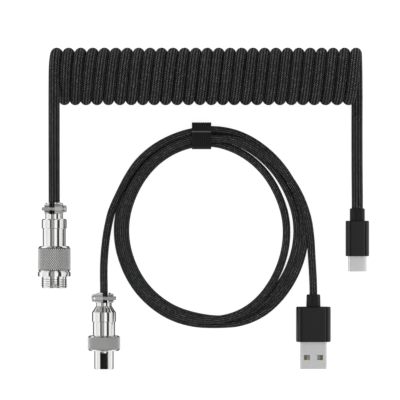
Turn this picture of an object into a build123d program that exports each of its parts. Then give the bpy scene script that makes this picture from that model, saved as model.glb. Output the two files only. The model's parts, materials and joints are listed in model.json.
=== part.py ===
from build123d import *
import math
import os

# Detachable coiled keyboard cable, laid out flat: a keyboard cable (USB-C plug, tight
# coil, threaded aviation socket) and a host cable (aviation plug, tied loop, USB-A plug).
# Millimetres. +Z is up from the table (z = 0), +X runs along the coil, and every
# connector points towards -Y. The origin is under the middle of the connectors' box.
# A connector's own profile is drawn along +Z from its cord end (0) to its mouth.

# cords
DEVICE_CORD_D = 5.2
HOST_CORD_D = 3.6
GRIP_GAP = 0.05  # between a cord and the bore that grips it
RUN_SHARE = 0.45  # share of the shorter run that a bend may use

# coil of the keyboard cable
COIL_OD = 26.0
COIL_PITCH = 5.155
COIL_TURNS = 26.5
COIL_START_X = -66.95
COIL_Y = 75.45
COIL_Z = COIL_OD / 2
COIL_END_X = COIL_START_X + COIL_PITCH * COIL_TURNS

# where each connector lies: x, y of its cord end
SOCKET_X, SOCKET_Y = -67.55, 18.55
PLUG_X, PLUG_Y = -45.05, -22.2
USB_C_X, USB_C_Y = 69.75, 15.95
USB_A_X, USB_A_Y = 49.8, -23.05

# aviation socket half, M12 x 1
SOCKET_SLEEVE_R = 7.5
SOCKET_RING_R = 7.4
SOCKET_GROOVE_R = 7.1
SOCKET_THREAD_R = 6.0
SOCKET_BORE_R = 4.45
SOCKET_SEAT_R = 4.9
SOCKET_COLLAR_R = 5.65
SOCKET_TAIL_R = 5.2
SOCKET_NECK_R = 4.0
SOCKET_CLAMP_LENGTH = 5.85
SOCKET_CLAMP_HALF_WIDTH = 6.05
SOCKET_COLLAR_START = 7.35
SOCKET_COLLAR_END = 11.75
SOCKET_SLEEVE_START = 19.65
SOCKET_GROOVE_START = 30.95
SOCKET_RING_START = 31.35
SOCKET_THREAD_START = 33.35
SOCKET_LENGTH = 38.65
SOCKET_TAIL_END = 23.0
SOCKET_FACE = 30.3
SOCKET_KEYWAY = 1.3
SOCKET_KEYWAY_DEPTH = 2.2
SOCKET_KEYWAY_X = 0.6

# aviation plug half
RING_R = 7.45
RING_BORE_R = 4.55
RING_THREAD_R = 5.5
RING_START = 19.4
RING_LIP_END = 20.95
RING_END = 26.25
BARREL_R = 4.375
BARREL_BORE_R = 3.6
BARREL_ROOT_R = 4.0
BARREL_JOURNAL_R = 4.5
BARREL_FLANGE_R = 5.4
BARREL_SPIGOT_R = 3.95
BARREL_SPIGOT_START = 14.0
BARREL_FLANGE_START = 21.05
BARREL_FLANGE_END = 22.35
BARREL_SLOT_WIDTH = 3.2
BARREL_SLOT_START = 27.2
KEY_R = 4.3
KEY_LOW = 2.95
KEY_SETBACK = 0.1
PLUG_LENGTH = 34.55
PLUG_FACE = 31.6
PLUG_CLAMP_LENGTH = 5.2
PLUG_CLAMP_HALF_WIDTH = 5.35
PLUG_NECK_R = 3.5
PLUG_SHOULDER_R = 5.05
PLUG_COLLAR_R = 5.43
PLUG_TAIL_R = 5.0
PLUG_COLLAR_START = 8.3
PLUG_COLLAR_END = 13.2
PLUG_TAIL_END = 19.25
PLUG_CAVITY_R = 4.0

# both halves
CONTACT_COUNT = 4
CONTACT_CIRCLE_R = 2.3
SOCKET_CONTACT_R = 0.8
SOCKET_CONTACT_BORE_R = 0.55
PIN_R = 0.5
WIRE_R = 0.45
SADDLE_WALL = 1.15
SADDLE_GAP = 0.4  # from the middle of the cord to each half of its clamp
SHELL_GAP = 2.0
SADDLE_EAR = 3.5
SHELL_EAR = 2.2
SOCKET_CLAMP_TURN = -90
PLUG_CLAMP_TURN = 90
NECK_OVERLAP = 0.65
JACKET_R = 1.6
JACKET_REACH = 1.2
WIRE_START_R = 0.9
WIRE_SPREAD = 4.5
WIRE_BEND_R = 2.0
SCREW_HEAD_R = 1.6
SCREW_HEAD_HEIGHT = 1.6
SCREW_R = 0.8
SCREW_REACH = 1.2
SCREW_SLOT = 0.5

# USB-C plug
USB_C_WIDTH = 10.6
USB_C_THICKNESS = 6.4
USB_C_CORNER = 2.2
USB_C_RELIEF_LENGTH = 5.6
USB_C_GRIP = 3.95
USB_C_RELIEF_WIDTH = 6.8
USB_C_RELIEF_THICKNESS = 6.1
USB_C_BODY_END = 21.7
USB_C_END = 28.6
USB_C_SHELL_WIDTH = 8.34
USB_C_SHELL_THICKNESS = 2.56
USB_C_SHELL_START = 16.0
USB_C_WALL = 0.3
USB_C_MOUTH_WIDTH = 6.85
USB_C_MOUTH_HEIGHT = 0.9
USB_C_CONTACTS = 12
USB_C_CONTACT_PITCH = 0.5
USB_C_BOARD = (7.2, 0.8)
USB_C_BOARD_START = 8.5
HOUSING_FILLET = 0.35

# USB-A plug
USB_A_WIDTH = 15.6
USB_A_THICKNESS = 8.0
USB_A_CORNER = 1.5
USB_A_RELIEF_LENGTH = 5.6
USB_A_GRIP = 2.35
USB_A_RELIEF_R = 3.2
USB_A_BODY_END = 21.5
USB_A_END = 33.7
USB_A_SHELL_WIDTH = 12.0
USB_A_SHELL_THICKNESS = 4.5
USB_A_SHELL_START = 12.5
USB_A_WALL = 0.3
USB_A_WINDOW = (2.65, 2.3)
USB_A_WINDOW_X = 2.975
USB_A_WINDOW_FROM_END = 5.2
USB_A_CONTACTS = (-3.5, -1.0, 1.0, 3.5)
USB_A_TONGUE_THICKNESS = 1.9
USB_A_MOULD = (11.4, 4.0)
USB_A_MOULD_START = 8.5

# tied loop of the host cable
LOOP_HOLE_CENTRE = (1.2, 6.5)
LOOP_HOLE = (34.7, 37.6)
LOOP_RIM_CENTRE = (3.9, 7.2)
LOOP_RIM = (45.1, 46.4)
LOOP_HEIGHT = 7.4
LOOP_EDGE = 1.6

# hook-and-loop strap
STRAP_X = -0.9
STRAP_WIDTH = 8.8
STRAP_LOW_Y = 42.7
STRAP_HIGH_Y = 55.0
STRAP_HEIGHT = 8.6
STRAP_THICKNESS = 0.9
STRAP_CORNER = 2.6
TAIL_ROOT_Y = 53.5
TAIL_TIP_Y = 50.4
TAIL_LIFT = 0.05

# cord routes, in the table's frame
DEVICE_LEAD = [
    (-66.95, 64.8, 23.4),
    (-67.0, 57.4, 22.6),
    (-67.14, 49.6, 19.2),
    (-67.33, 40.8, 14.3),
    (-67.5, 31.8, 9.8),
    (-67.55, 22.6, 7.5),
    (-67.55, 13.2, 7.5),
]
DEVICE_TAIL = [
    (69.66, 64.6, 2.6),
    (69.62, 56.5, 2.6),
    (69.62, 46.5, 2.6),
    (69.65, 36.5, 2.65),
    (69.7, 27.0, 2.9),
    (69.75, 19.3, 3.2),
    (69.75, 12.0, 3.2),
]
HOST_PLUG_TAIL = [
    (-41.2, 16.5, 1.8),
    (-42.8, 10.5, 1.8),
    (-44.0, 4.3, 1.8),
    (-44.75, -2.0, 2.3),
    (-45.15, -8.2, 4.3),
    (-45.2, -14.0, 6.5),
    (-45.05, -19.6, 7.45),
    (-45.05, -25.1, 7.45),
]
HOST_USB_TAIL = [
    (48.75, 1.8, 1.8),
    (49.0, -4.2, 1.8),
    (49.35, -10.0, 2.3),
    (49.65, -15.6, 3.45),
    (49.8, -20.7, 4.0),
    (49.8, -25.4, 4.0),
]


def place(piece, x, y, z):
    """Lay a profile drawn along +Z on the table so that it points towards -Y."""
    return Pos(x, y, z) * Rot(90, 0, 0) * piece


def turned(stations):
    """A turned solid through (distance along the axis, radius) stations."""
    first, last = stations[0][0], stations[-1][0]
    outline = [(0, first)] + [(r, z) for z, r in stations] + [(0, last)]
    face = Plane.XZ * make_face(Polyline(*outline, close=True))
    return revolve(face, Axis.Z)


def rod(radius, start, end, x=0.0, y=0.0):
    low = (Align.CENTER, Align.CENTER, Align.MIN)
    return Pos(x, y, start) * Cylinder(radius, end - start, align=low)


def bar(width, height, start, end, x=0.0, y=0.0):
    low = (Align.CENTER, Align.CENTER, Align.MIN)
    return Pos(x, y, start) * Box(width, height, end - start, align=low)


def rounded_bar(width, height, corner, start, end):
    outline = Pos(0, 0, start) * RectangleRounded(width, height, corner)
    return extrude(outline, end - start)


def on_circle(radius, count):
    for index in range(count):
        angle = 2 * math.pi * (index + 0.5) / count
        yield radius * math.cos(angle), radius * math.sin(angle)


def route_radii(points):
    """The radius of each bend: as large as the shorter of its two runs allows."""
    radii = []
    for before, here, after in zip(points, points[1:], points[2:]):
        first = Vector(*here) - Vector(*before)
        second = Vector(*after) - Vector(*here)
        half_turn = math.radians(first.get_angle(second)) / 2
        shorter = min(first.length, second.length)
        radii.append(RUN_SHARE * shorter / math.tan(half_turn))
    return radii


def cord_tube(name, points, diameter):
    radii = route_radii(points)
    path = FilletPolyline(*points, radius=radii)
    section = Plane(path @ 0, z_dir=path % 0) * Circle(diameter / 2)
    tube = sweep(section, path=path)
    ideal = math.pi * (diameter / 2) ** 2 * path.length
    print(name, "radii", [round(r, 1) for r in radii], "length", round(path.length, 1))
    print(name, "volume over ideal", round(tube.volume / ideal, 4))
    return tube


# ---- clamp at the cord end of both aviation halves ----


def clamp_plate(side, gap, ear, half_width, length, cord_r):
    """Half a cord clamp: an arched wall over the cord with an ear each side."""
    arch = rod(cord_r + GRIP_GAP + SADDLE_WALL, 0, length)
    lobe_r = (length - 1.3) / 2
    centre = 0.5 + lobe_r
    reach = half_width - lobe_r
    ears = Plane.XZ * Pos(0, centre) * SlotCenterToCenter(2 * reach, 2 * lobe_r)
    ears = extrude(ears, ear, dir=(0, side, 0))
    ears = Pos(0, side * gap, 0) * ears
    keep = Pos(0, side * (gap + 5), length / 2) * Box(30, 10, length + 2)
    return (arch & keep) + ears - rod(cord_r + GRIP_GAP, -1, length + 1)


def screw_holes(half_width, length):
    """The two screws' centres, and the holes they need through a clamp."""
    reach = half_width - SCREW_HEAD_R - 0.1
    for x in (-reach, reach):
        place = Pos(x, 0, length / 2 - 0.15)
        yield place, place * Rot(90, 0, 0) * Cylinder(SCREW_R, 14)


def clamp_saddle(half_width, length, cord_r):
    """The loose half of the clamp, clear of the neck behind it."""
    saddle = clamp_plate(1, SADDLE_GAP, SADDLE_EAR, half_width, length, cord_r)
    saddle -= Pos(0, 0, length - NECK_OVERLAP + 5) * Box(30, 30, 10)
    for place, hole in screw_holes(half_width, length):
        saddle -= hole
    return saddle


def shell_clamp(half_width, length, cord_r):
    """The half of the clamp that is one piece with the back shell."""
    plate = clamp_plate(-1, SHELL_GAP, SHELL_EAR, half_width, length, cord_r)
    for place, hole in screw_holes(half_width, length):
        plate -= hole
    return plate


def clamp_screws(half_width, length):
    """Two slotted pan-head screws that pull the saddle onto the cord."""
    screws = []
    top = SADDLE_GAP + SADDLE_EAR
    tip = -(SHELL_GAP + SHELL_EAR + SCREW_REACH)
    for place, hole in screw_holes(half_width, length):
        head = Cylinder(SCREW_HEAD_R, SCREW_HEAD_HEIGHT)
        head = fillet(head.edges().group_by(Axis.Z)[-1], 0.6)
        head = Pos(0, 0, top + SCREW_HEAD_HEIGHT / 2) * head
        head -= Pos(0, 0, top + SCREW_HEAD_HEIGHT) * Box(SCREW_SLOT, 4, 1.0)
        screw = head + rod(SCREW_R, tip, top + 0.1)
        screws.append(place * Rot(-90, 0, 0) * screw)
    return Compound(children=screws)


def inner_jacket(start, end):
    """The smooth cable inside the braid, from the clamp into the hollow shell."""
    return rod(JACKET_R, start, end)


def solder_wires(start, end):
    """Insulated wires that spread from the jacket to the backs of the contacts."""
    wires = []
    for x, y in on_circle(1, CONTACT_COUNT):
        near, far = WIRE_START_R, CONTACT_CIRCLE_R
        path = FilletPolyline(
            (near * x, near * y, start),
            (near * x, near * y, start + 1.0),
            (far * x, far * y, start + WIRE_SPREAD),
            (far * x, far * y, end),
            radius=WIRE_BEND_R,
        )
        section = Plane(path @ 0, z_dir=path % 0) * Circle(WIRE_R)
        wires.append(sweep(section, path=path))
    return Compound(children=wires)


# ---- socket half ----


def socket_back_shell():
    body = turned([
        (SOCKET_CLAMP_LENGTH - NECK_OVERLAP, SOCKET_NECK_R),
        (SOCKET_COLLAR_START, SOCKET_NECK_R),
        (SOCKET_COLLAR_START, SOCKET_COLLAR_R - 0.5),
        (SOCKET_COLLAR_START + 0.5, SOCKET_COLLAR_R),
        (SOCKET_COLLAR_END - 0.2, SOCKET_COLLAR_R),
        (SOCKET_COLLAR_END, SOCKET_TAIL_R),
        (SOCKET_TAIL_END, SOCKET_TAIL_R),
    ])
    cord_r = DEVICE_CORD_D / 2
    rear = shell_clamp(SOCKET_CLAMP_HALF_WIDTH, SOCKET_CLAMP_LENGTH, cord_r)
    shell = body + Rot(0, 0, SOCKET_CLAMP_TURN) * rear
    shell -= rod(cord_r + GRIP_GAP, -1, SOCKET_COLLAR_START + 1.5)
    return shell - rod(SOCKET_TAIL_R - 1.1, SOCKET_COLLAR_START + 1.5, SOCKET_TAIL_END + 1)


def socket_body():
    """Knurled sleeve, plain ring and M12 thread in one turned piece."""
    body = turned([
        (SOCKET_SLEEVE_START, SOCKET_SLEEVE_R - 0.9),
        (SOCKET_SLEEVE_START + 0.9, SOCKET_SLEEVE_R),
        (SOCKET_GROOVE_START, SOCKET_SLEEVE_R),
        (SOCKET_GROOVE_START, SOCKET_GROOVE_R),
        (SOCKET_RING_START, SOCKET_GROOVE_R),
        (SOCKET_RING_START, SOCKET_RING_R),
        (SOCKET_THREAD_START, SOCKET_RING_R),
        (SOCKET_THREAD_START, SOCKET_THREAD_R),
        (SOCKET_LENGTH - 0.3, SOCKET_THREAD_R),
        (SOCKET_LENGTH, SOCKET_THREAD_R - 0.3),
    ])
    body -= rod(SOCKET_TAIL_R + GRIP_GAP, SOCKET_SLEEVE_START - 1, SOCKET_TAIL_END + 0.1)
    body -= rod(SOCKET_SEAT_R, SOCKET_TAIL_END - 1, SOCKET_FACE)
    body -= rod(SOCKET_BORE_R, SOCKET_FACE - 1, SOCKET_LENGTH + 1)
    notch = bar(SOCKET_KEYWAY, 4, SOCKET_LENGTH - SOCKET_KEYWAY_DEPTH, SOCKET_LENGTH + 1)
    return body - Pos(SOCKET_KEYWAY_X, SOCKET_THREAD_R, 0) * notch


def socket_insulator():
    disc = rod(SOCKET_SEAT_R - GRIP_GAP, SOCKET_TAIL_END + 1, SOCKET_FACE)
    for x, y in on_circle(CONTACT_CIRCLE_R, CONTACT_COUNT):
        disc -= rod(SOCKET_CONTACT_R, SOCKET_TAIL_END, SOCKET_LENGTH, x, y)
    return disc


def socket_contacts():
    tubes = []
    for x, y in on_circle(CONTACT_CIRCLE_R, CONTACT_COUNT):
        tube = rod(SOCKET_CONTACT_R, SOCKET_TAIL_END - 1, SOCKET_FACE - 0.2, x, y)
        tubes.append(tube - rod(SOCKET_CONTACT_BORE_R, SOCKET_FACE - 5, SOCKET_LENGTH, x, y))
    return Compound(children=tubes)


# ---- plug half ----


def plug_back_shell():
    cord_r = HOST_CORD_D / 2
    body = turned([
        (PLUG_CLAMP_LENGTH - NECK_OVERLAP, PLUG_NECK_R),
        (PLUG_CLAMP_LENGTH + 0.7, PLUG_NECK_R),
        (PLUG_COLLAR_START, PLUG_SHOULDER_R),
        (PLUG_COLLAR_START + 0.5, PLUG_COLLAR_R),
        (PLUG_COLLAR_END - 0.2, PLUG_COLLAR_R),
        (PLUG_COLLAR_END, PLUG_TAIL_R),
        (PLUG_TAIL_END, PLUG_TAIL_R),
    ])
    rear = shell_clamp(PLUG_CLAMP_HALF_WIDTH, PLUG_CLAMP_LENGTH, cord_r)
    shell = body + Rot(0, 0, PLUG_CLAMP_TURN) * rear
    shell -= rod(cord_r + GRIP_GAP, -1, PLUG_COLLAR_START)
    return shell - rod(PLUG_CAVITY_R, PLUG_COLLAR_START, PLUG_TAIL_END + 1)


def plug_barrel():
    """Slotted front barrel, with the journal and flange that carry the ring."""
    barrel = turned([
        (BARREL_SPIGOT_START, BARREL_SPIGOT_R),
        (PLUG_TAIL_END, BARREL_SPIGOT_R),
        (PLUG_TAIL_END, BARREL_JOURNAL_R),
        (BARREL_FLANGE_START, BARREL_JOURNAL_R),
        (BARREL_FLANGE_START, BARREL_FLANGE_R),
        (BARREL_FLANGE_END, BARREL_FLANGE_R),
        (BARREL_FLANGE_END, BARREL_ROOT_R),
        (RING_END, BARREL_ROOT_R),
        (RING_END, BARREL_R),
        (PLUG_LENGTH - 0.25, BARREL_R),
        (PLUG_LENGTH, BARREL_R - 0.25),
    ])
    barrel -= rod(BARREL_BORE_R, BARREL_SPIGOT_START - 1, PLUG_LENGTH + 1)
    slot = bar(BARREL_SLOT_WIDTH, 4, BARREL_SLOT_START, PLUG_LENGTH + 1)
    return barrel - Pos(0, BARREL_R, 0) * slot


def coupling_ring():
    ring = turned([
        (RING_START, RING_R - 0.7),
        (RING_START + 0.7, RING_R),
        (RING_END - 0.7, RING_R),
        (RING_END, RING_R - 0.7),
    ])
    ring -= rod(RING_BORE_R, RING_START - 1, RING_END + 1)
    ring -= rod(RING_THREAD_R, RING_LIP_END, RING_END + 1)
    mouth = turned([(RING_END - 0.5, RING_THREAD_R), (RING_END + 0.1, RING_THREAD_R + 0.6)])
    return ring - mouth


def barrel_key():
    """The insulator's rib that fills the barrel's slot, a little below its surface."""
    start, end = BARREL_SLOT_START + GRIP_GAP, PLUG_LENGTH - KEY_SETBACK
    rib = bar(BARREL_SLOT_WIDTH - 2 * GRIP_GAP, 2, start, end, 0, KEY_LOW + 1)
    return rib & rod(KEY_R, start, end)


def plug_insulator():
    disc = rod(BARREL_BORE_R - GRIP_GAP, BARREL_FLANGE_END + 0.5, PLUG_FACE)
    disc += barrel_key()
    for x, y in on_circle(CONTACT_CIRCLE_R, CONTACT_COUNT):
        disc -= rod(PIN_R, BARREL_FLANGE_END, PLUG_LENGTH, x, y)
    return disc


def plug_pins():
    pins = []
    for x, y in on_circle(CONTACT_CIRCLE_R, CONTACT_COUNT):
        pins.append(rod(PIN_R, BARREL_FLANGE_START, PLUG_LENGTH - 0.6, x, y))
    return Compound(children=pins)


# ---- USB-C plug ----


def usb_c_strain_relief():
    relief = extrude(Ellipse(USB_C_RELIEF_WIDTH / 2, USB_C_RELIEF_THICKNESS / 2),
                     USB_C_RELIEF_LENGTH)
    relief = chamfer(relief.edges().group_by(Axis.Z)[0], 0.3)
    return relief - rod(DEVICE_CORD_D / 2, -1, USB_C_GRIP)


def usb_c_stadium(width, thickness, start, end):
    outline = Pos(0, 0, start) * SlotOverall(width, thickness)
    return extrude(outline, end - start)


def usb_c_board():
    return bar(*USB_C_BOARD, USB_C_BOARD_START, USB_C_SHELL_START)


def usb_c_overmould():
    body = rounded_bar(USB_C_WIDTH, USB_C_THICKNESS, USB_C_CORNER,
                       USB_C_RELIEF_LENGTH, USB_C_BODY_END)
    ends = body.edges().group_by(Axis.Z)
    body = fillet(ends[0] + ends[-1], HOUSING_FILLET)
    body -= usb_c_stadium(USB_C_SHELL_WIDTH, USB_C_SHELL_THICKNESS,
                          USB_C_SHELL_START, USB_C_BODY_END + 1)
    return body - usb_c_board()


def usb_c_shell():
    outer = usb_c_stadium(USB_C_SHELL_WIDTH, USB_C_SHELL_THICKNESS,
                          USB_C_SHELL_START, USB_C_END)
    outer = fillet(outer.edges().group_by(Axis.Z)[-1], 0.12)
    inner = usb_c_stadium(USB_C_SHELL_WIDTH - 2 * USB_C_WALL,
                          USB_C_SHELL_THICKNESS - 2 * USB_C_WALL,
                          USB_C_SHELL_START - 1, USB_C_END + 1)
    return outer - inner


def usb_c_insulator():
    liner = usb_c_stadium(USB_C_SHELL_WIDTH - 2 * USB_C_WALL,
                          USB_C_SHELL_THICKNESS - 2 * USB_C_WALL,
                          USB_C_SHELL_START, USB_C_END - 0.6)
    mouth = bar(USB_C_MOUTH_WIDTH, USB_C_MOUTH_HEIGHT, USB_C_SHELL_START + 2, USB_C_END)
    return liner - mouth


def usb_c_contacts():
    strips = []
    first = -(USB_C_CONTACTS - 1) / 2 * USB_C_CONTACT_PITCH
    for side in (-1, 1):
        for index in range(USB_C_CONTACTS):
            x = first + index * USB_C_CONTACT_PITCH
            y = side * (USB_C_MOUTH_HEIGHT / 2 - 0.06)
            strips.append(bar(0.25, 0.12, USB_C_SHELL_START + 2, USB_C_END - 1.4, x, y))
    return Compound(children=strips)


def usb_c_latches():
    latches = []
    for side in (-1, 1):
        x = side * (USB_C_MOUTH_WIDTH / 2 - 0.13)
        latches.append(bar(0.26, 0.5, USB_C_SHELL_START + 2, USB_C_END - 1.8, x))
    return Compound(children=latches)


# ---- USB-A plug ----


def usb_a_strain_relief():
    relief = turned([
        (0, USB_A_RELIEF_R - 0.35),
        (0.25, USB_A_RELIEF_R - 0.1),
        (USB_A_RELIEF_LENGTH, USB_A_RELIEF_R + 0.05),
    ])
    return relief - rod(HOST_CORD_D / 2, -1, USB_A_GRIP)


def usb_a_inner_mould():
    return bar(*USB_A_MOULD, USB_A_MOULD_START, USB_A_SHELL_START)


def usb_a_housing():
    body = rounded_bar(USB_A_WIDTH, USB_A_THICKNESS, USB_A_CORNER,
                       USB_A_RELIEF_LENGTH, USB_A_BODY_END)
    ends = body.edges().group_by(Axis.Z)
    body = fillet(ends[0] + ends[-1], HOUSING_FILLET)
    body -= rounded_bar(USB_A_SHELL_WIDTH, USB_A_SHELL_THICKNESS, 0.6,
                        USB_A_SHELL_START, USB_A_BODY_END + 1)
    return body - usb_a_inner_mould()


def usb_a_shell():
    shell = rounded_bar(USB_A_SHELL_WIDTH, USB_A_SHELL_THICKNESS, 0.6,
                        USB_A_SHELL_START, USB_A_END)
    shell -= rounded_bar(USB_A_SHELL_WIDTH - 2 * USB_A_WALL,
                         USB_A_SHELL_THICKNESS - 2 * USB_A_WALL, 0.4,
                         USB_A_SHELL_START - 1, USB_A_END + 1)
    centre = USB_A_END - USB_A_WINDOW_FROM_END
    for x in (-USB_A_WINDOW_X, USB_A_WINDOW_X):
        shell -= Pos(x, 0, centre) * Box(USB_A_WINDOW[0], 20, USB_A_WINDOW[1])
    return shell


def usb_a_tongue():
    inside = USB_A_SHELL_THICKNESS / 2 - USB_A_WALL
    width = USB_A_SHELL_WIDTH - 2 * USB_A_WALL - 0.8
    y = USB_A_TONGUE_THICKNESS / 2 - inside
    return bar(width, USB_A_TONGUE_THICKNESS, USB_A_SHELL_START, USB_A_END - 0.5, 0, y)


def usb_a_contacts():
    inside = USB_A_SHELL_THICKNESS / 2 - USB_A_WALL
    y = USB_A_TONGUE_THICKNESS + 0.1 - inside
    strips = []
    for x in USB_A_CONTACTS:
        strips.append(bar(1.0, 0.2, USB_A_SHELL_START, USB_A_END - 1.2, x, y))
    return Compound(children=strips)


# ---- strap and loop ----


def strap_outline(inset):
    width = STRAP_HIGH_Y - STRAP_LOW_Y - 2 * inset
    height = STRAP_HEIGHT - 2 * inset
    centre_y = (STRAP_HIGH_Y + STRAP_LOW_Y) / 2
    section = Plane.YZ * Pos(centre_y, STRAP_HEIGHT / 2)
    section *= RectangleRounded(width, height, STRAP_CORNER - inset)
    block = extrude(section, STRAP_WIDTH)
    return Pos(STRAP_X - STRAP_WIDTH / 2, 0, 0) * block


def strap_band():
    return strap_outline(0) - strap_outline(STRAP_THICKNESS)


def strap_tail():
    """The loose overlap on top of the band; it peels up about its rounded root."""
    low = STRAP_HEIGHT + TAIL_LIFT
    length = TAIL_ROOT_Y - TAIL_TIP_Y
    plate = Box(STRAP_WIDTH, length, STRAP_THICKNESS)
    plate = Pos(STRAP_X, TAIL_TIP_Y + length / 2, low + STRAP_THICKNESS / 2) * plate
    root = Rot(0, 90, 0) * Cylinder(STRAP_THICKNESS / 2, STRAP_WIDTH)
    return plate + Pos(STRAP_X, TAIL_ROOT_Y, low + STRAP_THICKNESS / 2) * root


def host_loop():
    """The outer shape of the three and a half tied turns of the host cord."""
    rim = Pos(*LOOP_RIM_CENTRE) * Ellipse(*LOOP_RIM)
    hole = Pos(*LOOP_HOLE_CENTRE) * Ellipse(*LOOP_HOLE)
    ring = extrude(rim - hole, LOOP_HEIGHT)
    ring = chamfer(ring.edges(), LOOP_EDGE)
    return ring - strap_band()


def coiled_cord():
    """The outer shape of the coil: one thick tube along X."""
    length = COIL_END_X - COIL_START_X + DEVICE_CORD_D
    inner_r = COIL_OD / 2 - DEVICE_CORD_D
    tube = Cylinder(COIL_OD / 2, length) - Cylinder(inner_r, length)
    middle = (COIL_START_X + COIL_END_X) / 2
    return Pos(middle, COIL_Y, COIL_Z) * Rot(0, 90, 0) * tube


def at_socket(piece):
    return place(piece, SOCKET_X, SOCKET_Y, SOCKET_SLEEVE_R)


def at_plug(piece):
    return place(piece, PLUG_X, PLUG_Y, RING_R)


def at_usb_c(piece):
    return place(piece, USB_C_X, USB_C_Y, USB_C_THICKNESS / 2)


def at_usb_a(piece):
    return place(piece, USB_A_X, USB_A_Y, USB_A_THICKNESS / 2)


device_cord_r = DEVICE_CORD_D / 2
host_cord_r = HOST_CORD_D / 2
socket_cord_end = SOCKET_Y - DEVICE_LEAD[-1][1]
plug_cord_end = PLUG_Y - HOST_PLUG_TAIL[-1][1]
socket_wire_start = SOCKET_COLLAR_START + JACKET_REACH + 1.5
plug_wire_start = PLUG_COLLAR_START + JACKET_REACH
nodes = {
    "socket_back_shell": at_socket(socket_back_shell()),
    "socket_clamp_saddle": at_socket(
        Rot(0, 0, SOCKET_CLAMP_TURN)
        * clamp_saddle(SOCKET_CLAMP_HALF_WIDTH, SOCKET_CLAMP_LENGTH, device_cord_r)
    ),
    "socket_clamp_screws": at_socket(
        Rot(0, 0, SOCKET_CLAMP_TURN)
        * clamp_screws(SOCKET_CLAMP_HALF_WIDTH, SOCKET_CLAMP_LENGTH)
    ),
    "socket_knurled_body": at_socket(socket_body()),
    "socket_insulator": at_socket(socket_insulator()),
    "socket_contacts": at_socket(socket_contacts()),
    "socket_inner_jacket": at_socket(inner_jacket(socket_cord_end, socket_wire_start)),
    "socket_wires": at_socket(solder_wires(socket_wire_start, SOCKET_TAIL_END - 1)),
    "device_cord_lead": cord_tube("device_cord_lead", DEVICE_LEAD, DEVICE_CORD_D),
    "coiled_cord": coiled_cord(),
    "device_cord_tail": cord_tube("device_cord_tail", DEVICE_TAIL, DEVICE_CORD_D),
    "usb_c_strain_relief": at_usb_c(usb_c_strain_relief()),
    "usb_c_overmould": at_usb_c(usb_c_overmould()),
    "usb_c_shell": at_usb_c(usb_c_shell()),
    "usb_c_insulator": at_usb_c(usb_c_insulator()),
    "usb_c_contacts": at_usb_c(usb_c_contacts()),
    "usb_c_latch_springs": at_usb_c(usb_c_latches()),
    "usb_c_circuit_board": at_usb_c(usb_c_board()),
    "plug_back_shell": at_plug(plug_back_shell()),
    "plug_clamp_saddle": at_plug(
        Rot(0, 0, PLUG_CLAMP_TURN)
        * clamp_saddle(PLUG_CLAMP_HALF_WIDTH, PLUG_CLAMP_LENGTH, host_cord_r)
    ),
    "plug_clamp_screws": at_plug(
        Rot(0, 0, PLUG_CLAMP_TURN)
        * clamp_screws(PLUG_CLAMP_HALF_WIDTH, PLUG_CLAMP_LENGTH)
    ),
    "plug_slotted_barrel": at_plug(plug_barrel()),
    "plug_coupling_ring": at_plug(coupling_ring()),
    "plug_insulator": at_plug(plug_insulator()),
    "plug_pins": at_plug(plug_pins()),
    "plug_inner_jacket": at_plug(inner_jacket(plug_cord_end, plug_wire_start)),
    "plug_wires": at_plug(solder_wires(plug_wire_start, BARREL_FLANGE_START)),
    "host_cord_plug_tail": cord_tube("host_cord_plug_tail", HOST_PLUG_TAIL, HOST_CORD_D),
    "host_cord_loop": host_loop(),
    "host_cord_usb_tail": cord_tube("host_cord_usb_tail", HOST_USB_TAIL, HOST_CORD_D),
    "usb_a_strain_relief": at_usb_a(usb_a_strain_relief()),
    "usb_a_housing": at_usb_a(usb_a_housing()),
    "usb_a_shell": at_usb_a(usb_a_shell()),
    "usb_a_tongue": at_usb_a(usb_a_tongue()),
    "usb_a_contacts": at_usb_a(usb_a_contacts()),
    "usb_a_inner_mould": at_usb_a(usb_a_inner_mould()),
    "strap_band": strap_band(),
    "strap_tail": strap_tail(),
}

os.makedirs("parts", exist_ok=True)
for name, piece in nodes.items():
    export_step(piece, os.path.join("parts", name + ".step"))
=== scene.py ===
import json
import math

import bpy
import numpy as np
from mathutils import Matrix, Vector

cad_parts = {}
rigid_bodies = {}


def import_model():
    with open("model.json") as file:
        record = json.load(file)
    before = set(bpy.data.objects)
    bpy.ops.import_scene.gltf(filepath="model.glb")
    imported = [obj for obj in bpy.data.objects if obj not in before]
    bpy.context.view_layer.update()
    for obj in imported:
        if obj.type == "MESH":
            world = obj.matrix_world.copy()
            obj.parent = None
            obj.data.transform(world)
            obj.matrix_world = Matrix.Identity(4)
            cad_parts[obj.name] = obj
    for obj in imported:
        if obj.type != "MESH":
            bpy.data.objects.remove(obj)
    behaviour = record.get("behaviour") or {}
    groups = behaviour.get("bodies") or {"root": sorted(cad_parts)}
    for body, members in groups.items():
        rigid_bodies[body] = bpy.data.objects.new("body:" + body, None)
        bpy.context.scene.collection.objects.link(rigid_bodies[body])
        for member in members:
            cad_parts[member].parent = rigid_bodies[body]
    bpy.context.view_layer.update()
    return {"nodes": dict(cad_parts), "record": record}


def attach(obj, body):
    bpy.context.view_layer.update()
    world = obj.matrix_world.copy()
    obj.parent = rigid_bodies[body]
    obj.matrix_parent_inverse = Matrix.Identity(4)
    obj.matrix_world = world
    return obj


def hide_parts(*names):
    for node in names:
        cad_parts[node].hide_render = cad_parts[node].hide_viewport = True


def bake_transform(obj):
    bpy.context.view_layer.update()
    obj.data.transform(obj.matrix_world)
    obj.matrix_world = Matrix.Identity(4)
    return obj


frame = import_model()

nodes = frame["nodes"]
mm = 0.001
print("frame loaded:", len(nodes), "nodes")


def deselectAll():
    if bpy.context.object and bpy.context.object.mode != "OBJECT":
        bpy.ops.object.mode_set(mode="OBJECT")
    for item in bpy.context.view_layer.objects:
        item.select_set(False)


def activate(piece):
    deselectAll()
    piece.select_set(True)
    bpy.context.view_layer.objects.active = piece


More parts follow.
